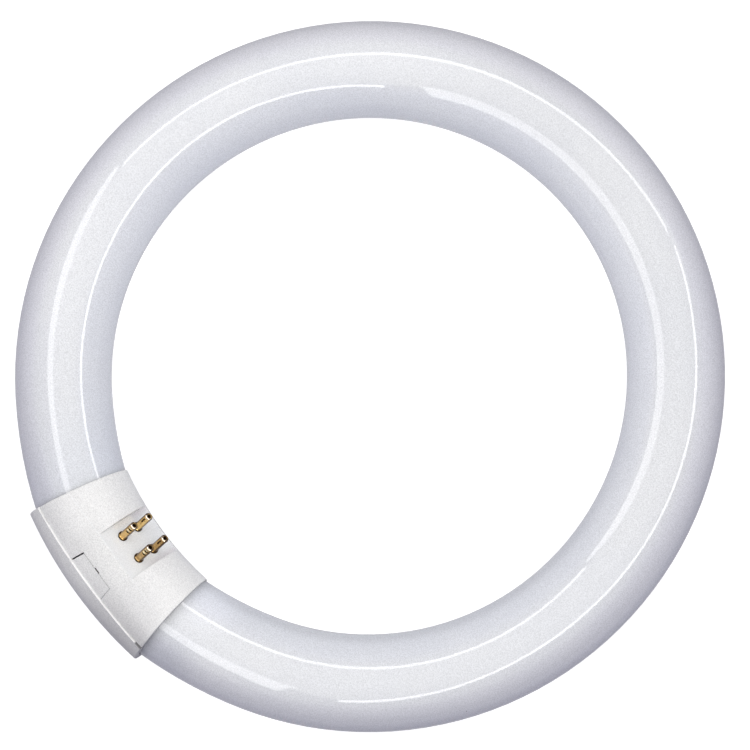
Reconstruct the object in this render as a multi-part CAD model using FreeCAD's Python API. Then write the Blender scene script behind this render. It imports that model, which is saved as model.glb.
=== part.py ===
import FreeCAD, Part
import math
import os

# Ring-shaped fluorescent tube lying flat, its glass ends covered by a two-part moulded base with four contact pins.
# Millimetres. +Z is the ring's axis, on the side that the pins lean to. The origin is the ring's centre, in the middle
# plane of the tube, and the base is on the -Y side.

V = FreeCAD.Vector

# --- glass tube -------------------------------------------------------------------------------------------------
RING_R = 90.5            # radius of the tube's centreline
TUBE_R = 14.3            # outside radius of the glass
END_FROM_DEG = 33.0      # the tube is bent less from this angle on either side of the base's middle
END_R = 120.0            # centreline radius of those two ends
END_ARC = 39.0           # their length along the centreline
SHOULDER_R = 6.5         # rounding of the sealed ends
TIP_R = 2.3              # exhaust tip
TIP_LEN = 5.4

# --- base ---------------------------------------------------------------------------------------------------------
BASE_MID_R = 91.5        # base axis, from the ring's centre, at the base's middle
BASE_ARC_R = 115.0       # the base is bent less than the ring
BASE_HALF = 23.45        # half its length along its axis
PIN_SHELL_R = 15.45      # outside radius of the pin half
COVER_R = 16.0           # outside radius of the cover half
WALL = 1.1
END_EDGE_R = 0.35        # rounding of the outside edge at the base's ends
COLLAR = 6.2             # length of the thicker end collars that hold the glass
GLASS_GAP = 0.15         # room between the glass and the collars
LEAN_DEG = 45.0          # the pins lean this far from +Z towards the ring's centre
PARTING = 1.34           # parting plane, from the base axis towards the pins
PARTING_GAP = 0.06

# --- recess for the lamp holder -----------------------------------------------------------------------------------
FACET = 12.0             # flat floor, from the base axis
RECESS_HALF = 8.1        # half its width along the tube
FLOOR = 1.2              # wall under the floor

# --- latch tongues --------------------------------------------------------------------------------------------------
TONGUE_H = 5.0           # above the parting plane
TONGUE_ROOT = 7.1        # half width at the parting plane
TONGUE_TOP = 6.35        # half width at the free edge
TONGUE_DEEP = 4.0        # root inside the cover
NOTCH_GAP = 0.12         # hairline room on two sides
NOTCH_OPEN = 0.46        # wider room at one end
SLOT_W = 2.0             # small release slot at the tongue's free edge
SLOT_H = 0.40
RELIEF_L = 3.0           # relief of the pin half's edge at the base's ends
RELIEF_H = 0.30

# --- contact pins ---------------------------------------------------------------------------------------------------
PIN_ALONG = 7.92         # spacing along the tube
PIN_ACROSS = 6.35        # spacing across it
PIN_R = 1.18
PIN_LEN = 7.6            # from the recess floor to the tip
COLLAR_R = 1.53
COLLAR_T = 0.72
TIP_BORE_R = 0.62        # open hollow tip
TIP_BORE_L = 3.0
WIRE_BORE_R = 0.32
TAIL = 3.2               # below the floor's face
RIVET_R = 1.6
RIVET_T = 0.45
PIN_HOLE_R = 1.21
CROSS_DENTS = (4.50, 6.05)  # crimps of the two front pins, above the floor
CROSS_DENT_R = 0.42      # their rounding
CROSS_DENT_DEEP = 0.26
LONG_DENT = 4.70         # start of the crimp of the two back pins
LONG_DENT_L = 1.8
LONG_DENT_R = 0.24
LONG_DENT_DEEP = 0.27

# --- lead wires -----------------------------------------------------------------------------------------------------
WIRE_R = 0.30
WIRE_OUT = 2.2           # straight out of the glass
WIRE_CORNER = 3.4        # corner below the pin's tail

UP = V(0, 0, 1)
ORIGIN = V(0, 0, 0)
lean = math.radians(LEAN_DEG)
N = V(0, math.sin(lean), math.cos(lean))        # the way the pins point
M = V(0, math.cos(lean), -math.sin(lean))       # across the pins, towards the inner back side
X = V(1, 0, 0)
MID = V(0, -BASE_MID_R, 0)                      # middle of the base's axis
BASE_PIVOT = V(0, BASE_ARC_R - BASE_MID_R, 0)


def radial(deg):
    a = math.radians(deg)
    return V(math.cos(a), math.sin(a), 0)


def turned(v, deg):
    a = math.radians(deg)
    return V(v.x * math.cos(a) - v.y * math.sin(a), v.x * math.sin(a) + v.y * math.cos(a), v.z)


def disc(centre, normal, r):
    return Part.Face(Part.Wire(Part.makeCircle(r, centre, normal)))


def slanted_box(x0, x1, m0, m1, n0, n1):
    """A box in the pins' own directions: along the tube, across the pins, and the way they point."""
    corner = MID + X * x0 + M * m0 + N * n0
    wire = Part.makePolygon([corner, corner + X * (x1 - x0), corner + X * (x1 - x0) + M * (m1 - m0), corner + M * (m1 - m0), corner])
    return Part.Face(wire).extrude(N * (n1 - n0))


def one_solid(shape):
    shape = shape.removeSplitter()
    solids = shape.Solids
    if len(solids) != 1:
        raise ValueError("expected one solid, got %d" % len(solids))
    return solids[0]


# --- glass tube: a ring arc and two flatter ends, as one piece --------------------------------------------------------
def tube_ends(side):
    """Junction azimuth, pivot and turning sign of one end arc. side is +1 at +X and -1 at -X."""
    az = -90.0 + side * END_FROM_DEG
    return az, radial(az) * (RING_R - END_R), -side


def end_at(side, arc):
    """Centre of the tube and the way it runs, at that length along an end arc."""
    az, pivot, sign = tube_ends(side)
    turn = math.degrees(arc / END_R) * sign
    centre = pivot + turned(radial(az) * END_R, turn)
    along = turned(V(radial(az).y, -radial(az).x, 0) * side, turn)
    return centre, along


def tube(r, arc):
    start = -90.0 + END_FROM_DEG
    body = disc(radial(start) * RING_R, radial(start + 90), r).revolve(ORIGIN, UP, 360.0 - 2 * END_FROM_DEG)
    for side in (1, -1):
        az, pivot, sign = tube_ends(side)
        piece = disc(radial(az) * RING_R, radial(az + 90), r).revolve(pivot, UP, math.degrees(arc / END_R) * sign)
        body = body.fuse(piece)
    return one_solid(body)


def sealed_tube(grow):
    """The tube with its rounded ends, or the room for it when it is grown a little all over."""
    body = tube(TUBE_R + grow, END_ARC + grow)
    rims = []
    for e in body.Edges:
        if isinstance(e.Curve, Part.Circle) and abs(e.Curve.Radius - TUBE_R - grow) < 1e-4:
            for side in (1, -1):
                if (e.Curve.Center - end_at(side, END_ARC + grow)[0]).Length < 1e-3:
                    rims.append(e)
    return body.makeFillet(SHOULDER_R + grow, rims)


glass = sealed_tube(0.0)
for side in (1, -1):
    centre, along = end_at(side, END_ARC)
    tip = Part.makeCylinder(TIP_R, TIP_LEN - TIP_R + 1.0, centre - along * 1.0, along)
    tip = tip.fuse(Part.makeSphere(TIP_R, centre + along * (TIP_LEN - TIP_R)))
    glass = glass.fuse(tip)
glass = one_solid(glass)


# --- base halves --------------------------------------------------------------------------------------------------------
def base_arc(r, half, edge=0.0):
    turn = math.degrees(half / BASE_ARC_R)
    face = disc(MID, X, r)
    face.rotate(BASE_PIVOT, UP, -turn)
    body = face.revolve(BASE_PIVOT, UP, 2 * turn)
    if edge:
        rims = [e for e in body.Edges if isinstance(e.Curve, Part.Circle) and abs(e.Curve.Radius - r) < 1e-4 and abs(e.Curve.Axis.z) < 0.5]
        body = body.makeFillet(edge, rims)
    return body


BIG = 60.0
bore = sealed_tube(GLASS_GAP)
chamber_half = BASE_HALF - COLLAR
recess_block = slanted_box(-RECESS_HALF - WALL, RECESS_HALF + WALL, -BIG, BIG, FACET - FLOOR, BIG)


def tongue(side, grow_top=0.0, grow_left=0.0, grow_right=0.0, low=-TONGUE_DEEP, r_in=PIN_SHELL_R - WALL, r_out=PIN_SHELL_R):
    """Tapered leaf in the pin half's wall, on the outer front (side -1) or inner back (side +1) of the base."""
    top = PARTING + TONGUE_H + grow_top
    slope = (TONGUE_ROOT - TONGUE_TOP) / TONGUE_H

    def half(n):
        return TONGUE_ROOT if n <= PARTING else TONGUE_ROOT - slope * (n - PARTING)

    a = MID + M * (side * 5.0)
    pts = [(-half(low) - grow_left, low), (half(low) + grow_right, low), (half(PARTING) + grow_right, PARTING),
           (half(top) + grow_right, top), (-half(top) - grow_left, top), (-half(PARTING) - grow_left, PARTING)]
    poly = [a + X * x + N * n for x, n in pts]
    block = Part.Face(Part.makePolygon(poly + [poly[0]])).extrude(M * (side * 20.0))
    layer = base_arc(r_out, BASE_HALF - 2).cut(base_arc(r_in, BASE_HALF - 1))
    return block.common(layer)


# pin half
pin_shell = base_arc(PIN_SHELL_R, BASE_HALF, END_EDGE_R).common(slanted_box(-BIG, BIG, -BIG, BIG, PARTING + PARTING_GAP, BIG))
chamber = base_arc(PIN_SHELL_R - WALL, chamber_half).cut(recess_block)
pin_shell = pin_shell.cut(chamber).cut(bore)
pin_shell = pin_shell.cut(slanted_box(-RECESS_HALF, RECESS_HALF, -BIG, BIG, FACET, BIG))
for side in (-1, 1):
    pin_shell = pin_shell.cut(tongue(side, NOTCH_GAP, NOTCH_OPEN, NOTCH_GAP, 0.0, PIN_SHELL_R - WALL - 1.5, PIN_SHELL_R + 1.5))
    top = PARTING + TONGUE_H
    m = sorted((side * 5.0, side * 25.0))
    pin_shell = pin_shell.cut(slanted_box(-SLOT_W / 2, SLOT_W / 2, m[0], m[1], top, top + SLOT_H))
    for end in (-1, 1):
        turn = math.degrees((BASE_HALF - RELIEF_L) / BASE_ARC_R) * end
        x = sorted((0.0, end * 12.0))
        relief = slanted_box(x[0], x[1], m[0], m[1], -8.0, PARTING + PARTING_GAP + RELIEF_H)
        relief.translate(X * (BASE_ARC_R * math.sin(math.radians(turn))))
        pin_shell = pin_shell.cut(relief)
pin_places = []
for number, (sx, sm) in enumerate(((-1, -1), (-1, 1), (1, -1), (1, 1)), 1):
    foot = MID + N * FACET + X * (sx * PIN_ALONG / 2) + M * (sm * PIN_ACROSS / 2)
    pin_places.append((number, sx, sm, foot))
    pin_shell = pin_shell.cut(Part.makeCylinder(PIN_HOLE_R, FLOOR + 2.0, foot - N * (FLOOR + 1.0), N))
pin_shell = one_solid(pin_shell)

# cover half
cover = base_arc(COVER_R, BASE_HALF, END_EDGE_R).common(slanted_box(-BIG, BIG, -BIG, BIG, -BIG, PARTING))
cover = cover.cut(base_arc(COVER_R - WALL, chamber_half)).cut(bore)
for side in (-1, 1):
    cover = cover.fuse(tongue(side))
cover = one_solid(cover)


# --- contact pins ---------------------------------------------------------------------------------------------------------
def pin(number, sx, sm, foot):
    """Turned pin on its own axis: tail, rivet ring, collar, shaft with an open hollow tip, and a punched crimp."""
    profile = [
        (WIRE_BORE_R, -TAIL), (PIN_R - 0.2, -TAIL), (PIN_R, -TAIL + 0.2), (PIN_R, -FLOOR - RIVET_T), (RIVET_R, -FLOOR - RIVET_T),
        (RIVET_R, -FLOOR), (PIN_R, -FLOOR), (PIN_R, 0.0), (COLLAR_R - 0.06, 0.0), (COLLAR_R, 0.08), (COLLAR_R, COLLAR_T - 0.34),
        (COLLAR_R - 0.10, COLLAR_T - 0.12), (COLLAR_R - 0.30, COLLAR_T), (PIN_R + 0.03, COLLAR_T), (PIN_R, COLLAR_T + 0.06),
        (PIN_R, PIN_LEN - 0.30), (PIN_R - 0.09, PIN_LEN - 0.09), (PIN_R - 0.28, PIN_LEN), (TIP_BORE_R + 0.02, PIN_LEN),
        (TIP_BORE_R, PIN_LEN - 0.05), (TIP_BORE_R, PIN_LEN - TIP_BORE_L), (WIRE_BORE_R, PIN_LEN - TIP_BORE_L - 0.3),
    ]
    pts = [foot + X * r + N * z for r, z in profile]
    body = Part.Face(Part.makePolygon(pts + [pts[0]])).revolve(foot, N, 360)
    body = body if body.Volume > 0 else body.reversed()
    if sm < 0:
        # two cross dents on opposite sides
        for z in CROSS_DENTS:
            for s in (-1, 1):
                side = (M * -0.95 + X * 0.30) * s
                side.normalize()
                across = N.cross(side)
                centre = foot + N * z + side * (PIN_R + CROSS_DENT_R - CROSS_DENT_DEEP)
                body = body.cut(Part.makeCylinder(CROSS_DENT_R, 4.0, centre - across * 2.0, across))
    else:
        # one long dent on opposite sides
        for s in (-1, 1):
            side = (M * -0.98 - X * 0.14) * s
            side.normalize()
            centre = foot + N * LONG_DENT + side * (PIN_R + LONG_DENT_R - LONG_DENT_DEEP)
            end = centre + N * LONG_DENT_L
            dent = Part.makeCylinder(LONG_DENT_R, LONG_DENT_L, centre, N)
            dent = dent.fuse(Part.makeSphere(LONG_DENT_R, centre)).fuse(Part.makeSphere(LONG_DENT_R, end))
            body = body.cut(dent)
    return one_solid(body)


pins = {number: pin(number, sx, sm, foot) for number, sx, sm, foot in pin_places}


# --- lead wires: straight runs joined by tangent arcs ---------------------------------------------------------------------
def wire_path(points, radii):
    edges, at = [], points[0]
    for k in range(1, len(points) - 1):
        a, b, c = points[k - 1], points[k], points[k + 1]
        u, w = (a - b), (c - b)
        u.normalize()
        w.normalize()
        half = u.getAngle(w) / 2
        back = radii[k - 1] / math.tan(half)
        p, q = b + u * back, b + w * back
        bis = u + w
        bis.normalize()
        mid = b + bis * (radii[k - 1] / math.sin(half) - radii[k - 1])
        edges.append(Part.LineSegment(at, p).toShape())
        edges.append(Part.Arc(p, mid, q).toShape())
        at = q
    edges.append(Part.LineSegment(at, points[-1]).toShape())
    return Part.Wire(edges)


wires = {}
for number, sx, sm, foot in pin_places:
    centre, along = end_at(sx, END_ARC)
    inward = V(-along.y, along.x, 0) * (-sx)
    inward = inward if inward.y > 0 else inward * -1
    corner = foot - N * (TAIL + WIRE_CORNER)
    a, b = (5.6, 1.6) if sm > 0 else (1.6, 5.6)
    start = centre + inward * a + UP * b
    path = wire_path([start, start + along * WIRE_OUT, corner, foot + N * (PIN_LEN - TIP_BORE_L - 0.35)], [6.0, 2.0])
    ring = Part.Wire(Part.makeCircle(WIRE_R, start, along))
    wires[number] = one_solid(path.makePipeShell([ring], True, False))
    print("lead", number, "length %.2f volume ratio %.4f" % (path.Length, wires[number].Volume / (math.pi * WIRE_R ** 2 * path.Length)))

# --- write --------------------------------------------------------------------------------------------------------------------
os.makedirs("parts", exist_ok=True)
named = {"glass_tube": glass, "base_pin_shell": pin_shell, "base_cover_shell": cover}
named.update({"contact_pin_%d" % k: s for k, s in pins.items()})
named.update({"lead_wire_%d" % k: s for k, s in wires.items()})
for name, shape in named.items():
    box = shape.BoundBox
    print("%-18s valid %s volume %9.1f  x %.2f..%.2f  y %.2f..%.2f  z %.2f..%.2f" % (
        name, shape.isValid(), shape.Volume, box.XMin, box.XMax, box.YMin, box.YMax, box.ZMin, box.ZMax))
    shape.exportStep("parts/%s.step" % name)
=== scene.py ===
import math

import bpy
from mathutils import Matrix, Vector


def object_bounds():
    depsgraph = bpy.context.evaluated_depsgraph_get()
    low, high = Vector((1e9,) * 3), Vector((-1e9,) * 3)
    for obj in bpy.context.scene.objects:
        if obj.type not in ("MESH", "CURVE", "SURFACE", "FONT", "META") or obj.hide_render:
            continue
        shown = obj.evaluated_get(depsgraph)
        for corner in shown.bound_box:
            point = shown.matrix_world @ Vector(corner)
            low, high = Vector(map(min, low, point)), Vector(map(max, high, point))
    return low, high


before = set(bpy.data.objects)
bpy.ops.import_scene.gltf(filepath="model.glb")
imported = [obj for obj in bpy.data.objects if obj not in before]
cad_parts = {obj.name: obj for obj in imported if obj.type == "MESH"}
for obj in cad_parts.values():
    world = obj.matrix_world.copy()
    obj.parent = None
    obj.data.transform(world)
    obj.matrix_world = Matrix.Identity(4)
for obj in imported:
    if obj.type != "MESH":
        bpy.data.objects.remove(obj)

cad_box = [[float(x) for x in corner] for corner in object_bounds()]
scene = bpy.context.scene
scene.view_settings.view_transform = "Standard"
scene.view_settings.look = "None"

# --- camera: nearly straight down the ring's axis ---------------------------------------------------------------------
TILT_X, TILT_Y = 4.92, 1.91      # degrees off the axis
ROLL = 53.55                     # degrees
DISTANCE = 0.950
LENS = 154.79
AIM = 0.00221                    # the picture's middle, to the right of the ring's centre

toward = Vector((math.tan(math.radians(TILT_X)), math.tan(math.radians(TILT_Y)), 1.0)).normalized()
roll = math.radians(ROLL)
hint = Vector((-math.sin(roll), math.cos(roll), 0.0))
right = (-toward).cross(hint).normalized()
up = right.cross(-toward).normalized()

eye = toward * DISTANCE
forward = (right * AIM - eye).normalized()
cam_right = forward.cross(up).normalized()
cam_up = cam_right.cross(forward).normalized()
cam_data = bpy.data.cameras.new("camera")
cam_data.sensor_width = 36.0
cam_data.lens = LENS
cam_data.clip_end = 200.0
camera = bpy.data.objects.new("camera", cam_data)
turn = Matrix((cam_right, cam_up, -forward)).transposed().to_4x4()
camera.matrix_world = Matrix.Translation(eye) @ turn
scene.collection.objects.link(camera)
scene.camera = camera


# --- small helpers ------------------------------------------------------------------------------------------------------
def new_mesh(name, verts, faces):
    mesh = bpy.data.meshes.new(name)
    mesh.from_pydata([tuple(v) for v in verts], [], faces)
    mesh.update()
    obj = bpy.data.objects.new(name, mesh)
    scene.collection.objects.link(obj)
    return obj


class Nodes:
    """A material with one principled shader, and short calls for the nodes that feed it."""

    def __init__(self, name):
        self.mat = bpy.data.materials.new(name)
        self.mat.use_nodes = True
        self.tree = self.mat.node_tree
        self.tree.nodes.clear()
        self.out = self.add("ShaderNodeOutputMaterial")
        self.shader = self.add("ShaderNodeBsdfPrincipled")
        self.link(self.shader.outputs["BSDF"], self.out.inputs["Surface"])
        self.coords = self.add("ShaderNodeTexCoord")
        self.place = self.coords.outputs["Object"]

    def add(self, kind, **props):
        node = self.tree.nodes.new(kind)
        for key, value in props.items():
            setattr(node, key, value)
        return node

    def link(self, a, b):
        self.tree.links.new(a, b)

    def set(self, **values):
        for key, value in values.items():
            self.shader.inputs[key.replace("_", " ")].default_value = value

    def noise(self, scale, detail=2.0, rough=0.5, place=None, distortion=0.0):
        node = self.add("ShaderNodeTexNoise")
        node.inputs["Scale"].default_value = scale
        node.inputs["Detail"].default_value = detail
        node.inputs["Roughness"].default_value = rough
        node.inputs["Distortion"].default_value = distortion
        self.link(place or self.place, node.inputs["Vector"])
        return node.outputs["Fac"]

    def stretched(self, scale, rotation=(0.0, 0.0, 0.0)):
        node = self.add("ShaderNodeMapping")
        node.inputs["Scale"].default_value = scale
        node.inputs["Rotation"].default_value = rotation
        self.link(self.place, node.inputs["Vector"])
        return node.outputs["Vector"]

    def ramp(self, fac, stops):
        node = self.add("ShaderNodeValToRGB")
        points = node.color_ramp.elements
        while len(points) < len(stops):
            points.new(0.5)
        for point, (at, value) in zip(points, stops):
            point.position = at
            point.color = (value[0], value[1], value[2], 1.0) if isinstance(value, (tuple, list)) else (value, value, value, 1.0)
        self.link(fac, node.inputs["Fac"])
        return node.outputs["Color"]

    def span(self, value, a, b, to_a=0.0, to_b=1.0, smooth=True):
        node = self.add("ShaderNodeMapRange")
        node.interpolation_type = "SMOOTHSTEP" if smooth else "LINEAR"
        node.inputs["From Min"].default_value = a
        node.inputs["From Max"].default_value = b
        node.inputs["To Min"].default_value = to_a
        node.inputs["To Max"].default_value = to_b
        self.link(value, node.inputs["Value"])
        return node.outputs["Result"]

    def away(self, point):
        """Distance from a point of the object, in metres."""
        node = self.add("ShaderNodeVectorMath", operation="DISTANCE")
        node.inputs[1].default_value = point
        self.link(self.place, node.inputs[0])
        return node.outputs["Value"]

    def vector(self, op, a, b):
        node = self.add("ShaderNodeVectorMath", operation=op)
        self.link(a, node.inputs[0])
        node.inputs[1].default_value = b
        return node.outputs["Vector"]

    def along(self, point, direction):
        """How far a place lies from a point in one direction, in metres."""
        node = self.add("ShaderNodeVectorMath", operation="DOT_PRODUCT")
        node.inputs[1].default_value = direction
        self.link(self.vector("SUBTRACT", self.place, point), node.inputs[0])
        return node.outputs["Value"]

    def off_axis(self, point, direction):
        """Distance from a straight axis, in metres."""
        node = self.add("ShaderNodeVectorMath", operation="LENGTH")
        self.link(self.vector("CROSS_PRODUCT", self.vector("SUBTRACT", self.place, point), direction), node.inputs[0])
        return node.outputs["Value"]

    def off_ring(self, centre, radius):
        """Distance from a flat circle round +Z, in metres."""
        moved = self.vector("SUBTRACT", self.place, centre)
        flat = self.add("ShaderNodeVectorMath", operation="LENGTH")
        self.link(self.vector("MULTIPLY", moved, (1.0, 1.0, 0.0)), flat.inputs[0])
        parts = self.add("ShaderNodeSeparateXYZ")
        self.link(moved, parts.inputs[0])
        pair = self.add("ShaderNodeCombineXYZ")
        self.link(self.math("SUBTRACT", flat.outputs["Value"], radius), pair.inputs["X"])
        self.link(parts.outputs["Z"], pair.inputs["Z"])
        node = self.add("ShaderNodeVectorMath", operation="LENGTH")
        self.link(pair.outputs["Vector"], node.inputs[0])
        return node.outputs["Value"]

    def both(self, *masks):
        total = masks[0]
        for mask in masks[1:]:
            total = self.math("MULTIPLY", total, mask)
        return total

    def between(self, value, a, b, soft):
        """One from a to b, and nothing further out than the soft edge."""
        return self.both(self.span(value, a - soft, a), self.span(value, b, b + soft, 1.0, 0.0))

    def mix(self, fac, a, b, blend="MIX"):
        node = self.add("ShaderNodeMix", data_type="RGBA", blend_type=blend)
        for socket, value in ((node.inputs["Factor"], fac), (node.inputs[6], a), (node.inputs[7], b)):
            if hasattr(value, "is_output"):
                self.link(value, socket)
            elif isinstance(value, (tuple, list)):
                socket.default_value = (value[0], value[1], value[2], 1.0)
            else:
                socket.default_value = value
        return node.outputs[2]

    def math(self, op, a, b=None):
        node = self.add("ShaderNodeMath", operation=op)
        for socket, value in zip(node.inputs, (a, b)):
            if hasattr(value, "is_output"):
                self.link(value, socket)
            elif value is not None:
                socket.default_value = value
        return node.outputs["Value"]

    def bump(self, height, strength, distance, below=None):
        node = self.add("ShaderNodeBump")
        node.inputs["Strength"].default_value = strength
        node.inputs["Distance"].default_value = distance
        self.link(height, node.inputs["Height"])
        if below is not None:
            self.link(below, node.inputs["Normal"])
        return node.outputs["Normal"]


# --- the base's own directions, in metres -----------------------------------------------------------------------------------
MID = Vector((0.0, -0.0915, 0.0))          # middle of the base's axis
PIVOT = Vector((0.0, 0.0235, 0.0))         # the axis is an arc round this point
ARC_R = 0.115
X = Vector((1.0, 0.0, 0.0))
N = Vector((0.0, math.sqrt(0.5), math.sqrt(0.5)))      # the way the pins point
M = Vector((0.0, math.sqrt(0.5), -math.sqrt(0.5)))     # across them
half_turn = 0.02345 / ARC_R
END_PLUS = Vector((math.cos(half_turn), math.sin(half_turn), 0.0))
END_MINUS = Vector((-math.cos(half_turn), math.sin(half_turn), 0.0))


# --- glass tube: clear glass over a white powder coat ----------------------------------------------------------------------
def glass_material():
    m = Nodes("coated_glass_finish")
    grain = m.noise(2900.0, 2.0, 0.65)
    cloud = m.noise(38.0, 3.0, 0.5)
    colour = m.ramp(grain, [(0.32, (0.665, 0.673, 0.693)), (0.68, (0.887, 0.897, 0.923))])
    colour = m.mix(m.span(cloud, 0.35, 0.70), colour, (0.972, 0.975, 0.985), "MULTIPLY")
    # painted light and shade: brighter and darker patches round the ring where the light fell unevenly, and a painted
    # bluish tint of the side light towards the tube's sides
    rho = m.off_axis((0.0, 0.0, 0.0), (0.0, 0.0, 1.0))

    def across(u):
        return 0.0905 + 0.0143 * u

    def part_of_ring(deg, a, b):
        a0 = math.radians(deg)
        return m.span(m.along((0.0, 0.0, 0.0), (right * math.cos(a0) - up * math.sin(a0)) / 0.0905), a, b)

    tones = (
        (part_of_ring(235.0, 0.45, 0.85), m.span(rho, across(0.35), across(0.75), 1.0, 0.0), (1.05, 1.05, 1.05)),
        (part_of_ring(345.0, 0.50, 0.85), m.between(rho, across(-0.30), across(0.35), 0.0021), (0.97, 0.97, 0.97)),
        (part_of_ring(325.0, 0.50, 0.85), m.between(rho, across(-0.85), across(-0.50), 0.0021), (1.06, 1.06, 1.06)),
        (part_of_ring(100.0, 0.10, 0.60), m.between(rho, across(0.55), across(0.72), 0.0017), (0.945, 0.945, 0.945)),
        (part_of_ring(95.0, 0.10, 0.60), m.span(rho, across(-0.92), across(-0.78), 1.0, 0.0), (0.92, 0.92, 0.92)),
        (m.span(rho, across(0.35), across(0.60)), m.span(rho, across(0.95), across(1.05), 1.0, 0.6), (1.006, 0.996, 1.024)),
        (m.span(rho, across(-0.60), across(-0.35), 1.0, 0.0), m.span(rho, across(-1.05), across(-0.95), 0.6, 1.0), (0.994, 1.000, 1.022)),
    )
    for one, two, tone in tones:
        colour = m.mix(m.both(one, two), colour, m.mix(1.0, colour, tone, "MULTIPLY"))
    # greyer beside the base, most of all along the base's edges: painted shadow of the base on the glass, together with
    # the darkened ends a lamp has
    x = m.along(MID, X)
    low_side = m.span(x, -0.001, 0.001)
    near = m.span(m.away(MID), 0.037, 0.043, 1.0, 0.0)
    wide = m.span(m.away(MID), 0.022, 0.062, 1.0, 0.0)
    low = m.ramp(m.span(m.along(PIVOT, END_PLUS), 0.0, 0.0045, smooth=False),
                 [(0.0, 0.58), (0.11, 0.64), (0.22, 0.72), (0.40, 0.84), (0.60, 0.92), (1.0, 1.0)])
    high = m.ramp(m.span(m.along(PIVOT, END_MINUS), 0.0, 0.0045, smooth=False),
                  [(0.0, 0.74), (0.11, 0.82), (0.22, 0.90), (0.45, 0.96), (1.0, 1.0)])
    colour = m.mix(m.both(low_side, near), colour, m.mix(1.0, colour, low, "MULTIPLY"))
    dim = m.both(m.math("SUBTRACT", 1.0, low_side), wide)
    colour = m.mix(dim, colour, m.mix(1.0, colour, (0.93, 0.94, 0.965), "MULTIPLY"))
    colour = m.mix(m.both(m.math("SUBTRACT", 1.0, low_side), near), colour, m.mix(1.0, colour, high, "MULTIPLY"))
    # painted shade on the tube's outer side beside the base, and a painted pool of light on its inner side there
    outer = m.span(m.away((0.0300, -0.0990, 0.0060)), 0.004, 0.018, 1.0, 0.0)
    colour = m.mix(outer, colour, m.mix(1.0, colour, (0.85, 0.86, 0.88), "MULTIPLY"))
    inner = m.span(m.away((0.0270, -0.0765, 0.0105)), 0.002, 0.013, 1.0, 0.0)
    colour = m.mix(inner, colour, m.mix(1.0, colour, (1.09, 1.09, 1.10), "MULTIPLY"))
    # one small dark speck
    colour = m.mix(m.span(m.away((0.09643, -0.03467, 0.00782)), 0.00012, 0.00022, 1.0, 0.0), colour, (0.20, 0.19, 0.19))
    m.link(colour, m.shader.inputs["Base Color"])
    m.link(m.span(cloud, 0.3, 0.7, 0.52, 0.60), m.shader.inputs["Roughness"])
    m.set(Specular_IOR_Level=0.0, Coat_Weight=1.0, Coat_Roughness=0.02, Coat_IOR=1.5)
    ripple = m.bump(m.noise(55.0, 1.0, 0.4), 0.10, 0.0004)
    m.link(ripple, m.shader.inputs["Coat Normal"])
    m.link(m.bump(grain, 0.10, 0.0002), m.shader.inputs["Normal"])
    return m.mat


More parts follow.
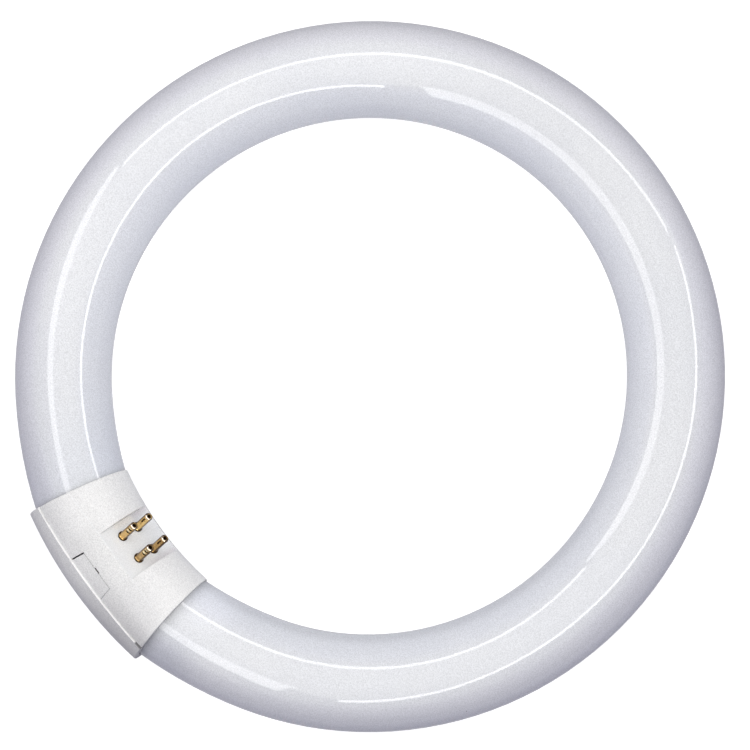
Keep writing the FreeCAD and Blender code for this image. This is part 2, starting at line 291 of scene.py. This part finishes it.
# --- base: moulded white plastic with a fine matt grain -----------------------------------------------------------------------
def plastic_material():
    m = Nodes("white_plastic_finish")
    grain = m.noise(2900.0, 2.0, 0.65)
    cloud = m.noise(60.0, 3.0, 0.5)
    colour = m.ramp(grain, [(0.32, (0.695, 0.691, 0.683)), (0.68, (0.950, 0.945, 0.936))])
    colour = m.mix(m.span(cloud, 0.35, 0.75), colour, (0.97, 0.968, 0.975), "MULTIPLY")
    n, x, r = m.along(MID, N), m.along(MID, X), m.off_ring(PIVOT, ARC_R)
    # painted shade along the outer shoulder, and painted light on top
    dull = m.both(m.between(x, -0.009, 0.020, 0.006), m.span(n, 0.0105, 0.0145, 1.0, 0.0), m.span(n, 0.0040, 0.0065))
    colour = m.mix(dull, colour, m.mix(1.0, colour, (0.93, 0.93, 0.93), "MULTIPLY"))
    top_painted_light = m.both(m.span(n, 0.0125, 0.0148), m.between(x, -0.020, 0.020, 0.004))
    colour = m.mix(top_painted_light, colour, m.mix(1.0, colour, (1.045, 1.045, 1.045), "MULTIPLY"))
    # painted shade towards one end of the outer side; on the floor of the recess, painted light that lifts its shade
    # and cools the warm light bounced off its walls
    outer_end_painted_shade = m.both(m.span(x, -0.006, 0.020), m.span(n, 0.002, 0.009, 1.0, 0.0))
    colour = m.mix(outer_end_painted_shade, colour, m.mix(1.0, colour, (0.80, 0.795, 0.80), "MULTIPLY"))
    near_wall = m.both(m.span(m.math("ABSOLUTE", x), 0.0050, 0.0076), m.span(m.along(MID, M), -0.004, 0.003))
    recess_floor_painted_light = m.mix(0.40, m.mix(1.0, colour, (1.05, 1.07, 1.10), "MULTIPLY"), (0.985, 0.995, 1.0))
    floor_tone = m.mix(near_wall, recess_floor_painted_light, m.mix(1.0, colour, (1.01, 0.99, 1.03), "MULTIPLY"))
    # more painted light on the recess floor beside its upper wall, against that wall's shade
    upper_wall_painted_light = m.both(m.span(x, -0.0072, -0.0056, 1.0, 0.0), m.between(m.along(MID, M), -0.0030, 0.0028, 0.002))
    floor_tone = m.mix(upper_wall_painted_light, floor_tone, m.mix(1.0, colour, (1.21, 1.19, 1.165), "MULTIPLY"))
    colour = m.mix(m.between(n, 0.01198, 0.01202, 0.00002), colour, floor_tone)
    # painted light on the cover's rim, painted shade where the seam opens at its lower end, and painted shade in the
    # gaps round the latch tongues
    colour = m.mix(m.between(n, 0.00132, 0.00136, 0.00002), colour, (0.93, 0.925, 0.925))
    colour = m.mix(m.both(m.between(n, 0.00132, 0.00136, 0.00002), m.span(x, 0.0228, 0.0235)), colour, (0.20, 0.20, 0.205))
    wide = m.span(m.math("ABSOLUTE", m.along(MID, M)), 0.0075, 0.0085)
    tongue_gap_painted_shade = m.both(m.between(x, -0.0080, 0.0080, 0.0002), m.between(n, 0.00150, 0.0070, 0.0001), wide, m.span(r, 0.01536, 0.01542, 1.0, 0.0))
    colour = m.mix(tongue_gap_painted_shade, colour, (0.085, 0.08, 0.08))
    m.link(colour, m.shader.inputs["Base Color"])
    m.link(m.span(grain, 0.3, 0.7, 0.46, 0.60), m.shader.inputs["Roughness"])
    m.set(IOR=1.46)
    m.link(m.bump(grain, 0.22, 0.00012), m.shader.inputs["Normal"])
    return m.mat


# --- pins: brass, with painted dark reflection along the flanks, painted glints and shade, and stains in the crimps -------------
PIN_R = 0.00118


def brass_material(number, foot, tint, dark_low, dark_high):
    """dark_low and dark_high say how far from the middle, in radii, each flank's painted dark reflection begins."""
    m = Nodes("pin_brass_finish_%d" % number)
    lean = m.stretched((1.0, 1.0, 1.0), (math.radians(45.0), 0.0, 0.0))
    rings = m.add("ShaderNodeTexWave", wave_type="BANDS", bands_direction="Z")
    rings.inputs["Scale"].default_value = 2600.0
    rings.inputs["Distortion"].default_value = 1.5
    rings.inputs["Detail"].default_value = 2.0
    m.link(lean, rings.inputs["Vector"])
    tarnish = m.noise(1300.0, 3.0, 0.6)
    tones = ((0.30, (0.60, 0.40, 0.14)), (0.50, (0.80, 0.57, 0.24)), (0.75, (0.90, 0.68, 0.33)))
    colour = m.ramp(tarnish, [(at, tuple(min(1.0, c * t) for c, t in zip(tone, tint))) for at, tone in tones])
    z, r, x, across = m.along(foot, N), m.off_axis(foot, N), m.along(foot, X), m.along(foot, M)
    # painted dark reflection along both flanks of the pin
    side = m.math("MAXIMUM", m.span(x, dark_high * PIN_R, (dark_high + 0.30) * PIN_R),
                  m.span(x, -(dark_low + 0.30) * PIN_R, -dark_low * PIN_R, 1.0, 0.0))
    colour = m.mix(side, colour, (0.11, 0.062, 0.022))
    # crimps: stained, and between the front pins' two crimps a painted glint on the front face
    dent = m.both(m.between(z, 0.0010, 0.0071, 0.0001), m.between(r, 0.00085, PIN_R - 0.00004, 0.00003))
    rough = m.span(tarnish, 0.3, 0.7, 0.36, 0.18)
    if foot.y < -0.083:
        front_painted_glint = m.math("MAXIMUM", m.between(z, 0.00478, 0.00545, 0.00012), m.between(z, 0.00630, 0.00662, 0.00012))
        front_painted_glint = m.both(front_painted_glint, m.between(x, -0.34 * PIN_R, 0.34 * PIN_R, 0.00018), m.span(across, 0.0, 0.0003, 1.0, 0.0))
        stain = m.math("MAXIMUM", m.between(z, 0.00405, 0.00462, 0.00008), m.between(z, 0.00560, 0.00617, 0.00008))
        colour = m.mix(m.both(dent, stain), colour, (0.035, 0.020, 0.008))
        colour = m.mix(front_painted_glint, colour, (1.0, 0.90, 0.62))
        rough = m.math("ADD", rough, m.math("MULTIPLY", front_painted_glint, 0.35))
    else:
        colour = m.mix(dent, colour, (0.07, 0.040, 0.015))
    # hollow tip: painted shade further in the bore
    hollow = m.both(m.span(r, 0.00060, 0.00066, 1.0, 0.0), m.span(z, 0.0030, 0.0035), m.span(z, 0.00700, 0.00735, 1.0, 0.0))
    colour = m.mix(hollow, colour, (0.12, 0.08, 0.04))
    # painted shade on the collar's edge, and a painted shadow where it meets the plastic
    collar_painted_shade = m.both(m.span(r, 0.00128, 0.00138), m.span(z, 0.00060, 0.00070, 1.0, 0.0))
    colour = m.mix(collar_painted_shade, colour, (0.10, 0.062, 0.024))
    colour = m.mix(m.span(z, 0.00004, 0.00016, 1.0, 0.0), colour, (0.10, 0.06, 0.025))
    # rim of the tip: a painted highlight on the front only
    front = m.both(m.span(across, -0.00030, 0.00010, 1.0, 0.0), m.math("SUBTRACT", 1.0, side))
    tip_painted_highlight = m.both(m.span(z, 0.00722, 0.00736), m.span(r, 0.00066, 0.00072))
    colour = m.mix(m.both(tip_painted_highlight, front), colour, (0.93, 0.78, 0.60))
    m.link(colour, m.shader.inputs["Base Color"])
    m.link(rough, m.shader.inputs["Roughness"])
    m.set(Metallic=1.0)
    m.link(m.bump(rings.outputs["Fac"], 0.12, 0.00003), m.shader.inputs["Normal"])
    return m.mat


# --- leads: tinned wire ----------------------------------------------------------------------------------------------------------
def lead_material():
    m = Nodes("lead_metal_finish")
    dull = m.noise(1400.0, 3.0, 0.6)
    m.link(m.ramp(dull, [(0.3, (0.42, 0.40, 0.38)), (0.7, (0.66, 0.65, 0.63))]), m.shader.inputs["Base Color"])
    m.link(m.span(dull, 0.3, 0.7, 0.42, 0.24), m.shader.inputs["Roughness"])
    m.set(Metallic=1.0)
    m.link(m.bump(dull, 0.15, 0.00004), m.shader.inputs["Normal"])
    return m.mat


finish = {
    "coated_glass": glass_material(),
    "white_plastic": plastic_material(),
    "lead_metal": lead_material(),
}
# each pin's tint, partly painted light and shade that makes lighter and darker copies of one brass, and where its
# painted dark flanks begin
pin_looks = (
    (-1, -1, (0.90, 0.84, 0.81), 0.55, 0.62),
    (-1, 1, (1.10, 1.08, 1.05), 0.50, 0.68),
    (1, -1, (0.67, 0.62, 0.65), 0.48, 0.52),
    (1, 1, (0.75, 0.66, 0.60), 0.55, 0.48),
)
for number, (sx, sm, tint, dark_low, dark_high) in enumerate(pin_looks, 1):
    foot = MID + N * 0.012 + X * (sx * 0.00396) + M * (sm * 0.003175)
    finish["contact_pin_%d" % number] = brass_material(number, foot, tint, dark_low, dark_high)
for name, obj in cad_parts.items():
    kind = ("coated_glass" if name.startswith("glass") else "white_plastic" if name.startswith("base")
            else name if name in finish else "lead_metal")
    for s in obj.material_slots:
        s.material = finish[kind]


# --- floor and backdrop -------------------------------------------------------------------------------------------------------------
def stage_material(name, base, glow):
    m = Nodes(name)
    tone = m.noise(3.0, 2.0)
    m.link(m.ramp(tone, [(0.3, (base, base, base)), (0.7, (base * 1.02, base * 1.02, base * 1.02))]), m.shader.inputs["Base Color"])
    m.set(Roughness=0.9, Emission_Color=(1.0, 1.0, 1.0, 1.0), Emission_Strength=glow, Specular_IOR_Level=0.0)
    return m.mat


FLOOR_Z = cad_box[0][2]
FLOOR_R = 7.0
ring = [Vector((FLOOR_R * math.cos(a), FLOOR_R * math.sin(a), FLOOR_Z)) for a in (k * math.tau / 64 for k in range(64))]
floor = new_mesh("floor", ring, [tuple(range(64))])
floor.data.materials.append(stage_material("floor_finish", 0.5, 0.75))
wall_verts = ring + [v + Vector((0.0, 0.0, 7.0)) for v in ring]
backdrop = new_mesh("backdrop", wall_verts, [(k, (k + 1) % 64, 64 + (k + 1) % 64, 64 + k) for k in range(64)])
backdrop.data.materials.append(stage_material("backdrop_finish", 0.5, 1.0))
for obj in (floor, backdrop):
    obj.visible_glossy = False
    obj.visible_diffuse = False
    obj.visible_transmission = False
backdrop.visible_shadow = False


# --- light: three long strips round the camera, a dim panel between them, and soft light from everywhere -----------------------------
def lamp_axes(deg):
    """Outward and along directions of a strip whose nearest point is at that angle in the picture."""
    a = math.radians(deg)
    return right * math.cos(a) - up * math.sin(a), -right * math.sin(a) - up * math.cos(a)


def lamp_material(name, colour, strength):
    mat = bpy.data.materials.new(name)
    mat.use_nodes = True
    tree = mat.node_tree
    tree.nodes.clear()
    out = tree.nodes.new("ShaderNodeOutputMaterial")
    glow = tree.nodes.new("ShaderNodeEmission")
    glow.inputs["Color"].default_value = (colour[0], colour[1], colour[2], 1.0)
    glow.inputs["Strength"].default_value = strength
    tree.links.new(glow.outputs["Emission"], out.inputs["Surface"])
    return mat


def lamp(name, verts, faces, colour, strength, diffuse=True):
    obj = new_mesh(name, verts, faces)
    obj.data.materials.append(lamp_material(name + "_glow", colour, strength))
    obj.visible_camera = False
    obj.visible_shadow = False
    obj.visible_diffuse = diffuse
    return obj


def strip(name, facing, height, width, tilt, line, colour, strength):
    """A long narrow light, slightly bowed: line holds its points as (along, out) in metres, and at a tapered or leaning end also
    (part of the width, lean). The tilt turns it from level to upright."""
    out, along = lamp_axes(facing)
    t0 = math.radians(tilt)
    across = out * math.cos(t0) - toward * math.sin(t0)
    verts, faces = [], []
    for k, (t, n, *end) in enumerate(line):
        part, lean = end or (1.0, 0.0)
        for s in (-0.5, 0.5):
            verts.append(toward * height + along * (t + s * lean) + out * n + across * (s * width * part))
        if k:
            faces.append((2 * k - 2, 2 * k - 1, 2 * k + 1, 2 * k))
    return lamp(name, verts, faces, colour, strength, diffuse=False)


WHITE = (1.0, 1.0, 1.0)
strip("strip_1", 46.0, 1.10, 0.195, 80.0, [(-1.66, 0.420), (-1.50, 0.465), (-1.10, 0.580), (-0.83, 0.705), (-0.60, 0.770), (-0.30, 0.780), (-0.10, 0.735), (0.10, 0.650), (0.30, 0.603), (0.50, 0.610), (0.78, 0.555), (0.91, 0.530)], WHITE, 8.0)
strip("strip_2", 154.0, 0.54, 0.325, 88.0, [(-0.275, 0.362, 1.0, -0.05), (-0.16, 0.345), (-0.10, 0.335), (0.00, 0.328), (0.15, 0.282), (0.30, 0.282), (0.38, 0.288), (0.50, 0.298, 0.75, 0.0), (0.64, 0.305, 0.32, 0.0)], WHITE, 5.0)
strip("strip_3", 258.0, 0.80, 0.145, 80.0, [(-0.50, 0.620), (-0.38, 0.605), (-0.24, 0.585), (-0.13, 0.582), (0.00, 0.622), (0.12, 0.652), (0.31, 0.666), (0.46, 0.642), (0.66, 0.606), (0.88, 0.535), (1.02, 0.475), (1.13, 0.430)], WHITE, 6.8)

PANEL_H = 1.50
sides = ((46.0, 0.883), (154.0, 0.878), (258.0, 1.167))
corners = []
for k in range(3):
    (a1, d1), (a2, d2) = sides[k], sides[(k + 1) % 3]
    c1, s1, c2, s2 = (f(math.radians(a)) for a in (a1, a2) for f in (math.cos, math.sin))
    det = c1 * s2 - s1 * c2
    x, y = (d1 * s2 - d2 * s1) / det, (d2 * c1 - d1 * c2) / det
    corners.append(toward * PANEL_H + right * x - up * y)
panel = lamp("panel", corners, [(0, 1, 2)], (1.836, 1.834, 1.755), 1.0)
panel.visible_shadow = True

# white card on the floor inside the ring, which lifts the ring's inner side
CARD_R = 0.070
card_verts = [Vector((CARD_R * math.cos(a), CARD_R * math.sin(a), FLOOR_Z + 0.0003)) for a in (k * math.tau / 48 for k in range(48))]
card = lamp("card", card_verts, [tuple(range(48))], (1.04, 1.054, 1.08), 1.0)
card.visible_glossy = False

# soft light from everywhere, a part for each direction
world = bpy.data.worlds.new("world")
scene.world = world
world.use_nodes = True
tree = world.node_tree
tree.nodes.clear()
w_out = tree.nodes.new("ShaderNodeOutputWorld")
w_back = tree.nodes.new("ShaderNodeBackground")
w_coord = tree.nodes.new("ShaderNodeTexCoord")
tree.links.new(w_back.outputs["Background"], w_out.inputs["Surface"])
w_back.inputs["Strength"].default_value = 1.0


def slant(deg):
    """Half way between the camera's side and a direction in the picture."""
    a = math.radians(deg)
    return (toward + right * math.cos(a) + up * math.sin(a)).normalized()


SKY = (
    (toward, (0.380, 0.377, 0.400)),
    (-toward, (0.520, 0.520, 0.555)),
    (right, (0.002, 0.000, 0.040)),
    (-right, (0.074, 0.072, 0.111)),
    (-up, (0.000, 0.000, 0.036)),
    (slant(36.0), (0.024, 0.022, 0.047)),
    (slant(126.0), (0.422, 0.416, 0.436)),
    (slant(306.0), (0.067, 0.069, 0.099)),
)


def sky_part(direction, colour):
    """Light that grows from nothing at right angles to a direction to its full colour there."""
    dot = tree.nodes.new("ShaderNodeVectorMath")
    dot.operation = "DOT_PRODUCT"
    dot.inputs[1].default_value = direction
    tree.links.new(w_coord.outputs["Generated"], dot.inputs[0])
    keep = tree.nodes.new("ShaderNodeMath")
    keep.operation = "MAXIMUM"
    keep.inputs[1].default_value = 0.0
    tree.links.new(dot.outputs["Value"], keep.inputs[0])
    scale = tree.nodes.new("ShaderNodeVectorMath")
    scale.operation = "SCALE"
    scale.inputs[0].default_value = colour
    tree.links.new(keep.outputs["Value"], scale.inputs["Scale"])
    return scale.outputs["Vector"]


total = None
for direction, colour in SKY:
    part = sky_part(direction, colour)
    if total is None:
        total = part
    else:
        add = tree.nodes.new("ShaderNodeVectorMath")
        add.operation = "ADD"
        tree.links.new(total, add.inputs[0])
        tree.links.new(part, add.inputs[1])
        total = add.outputs["Vector"]
tree.links.new(total, w_back.inputs["Color"])
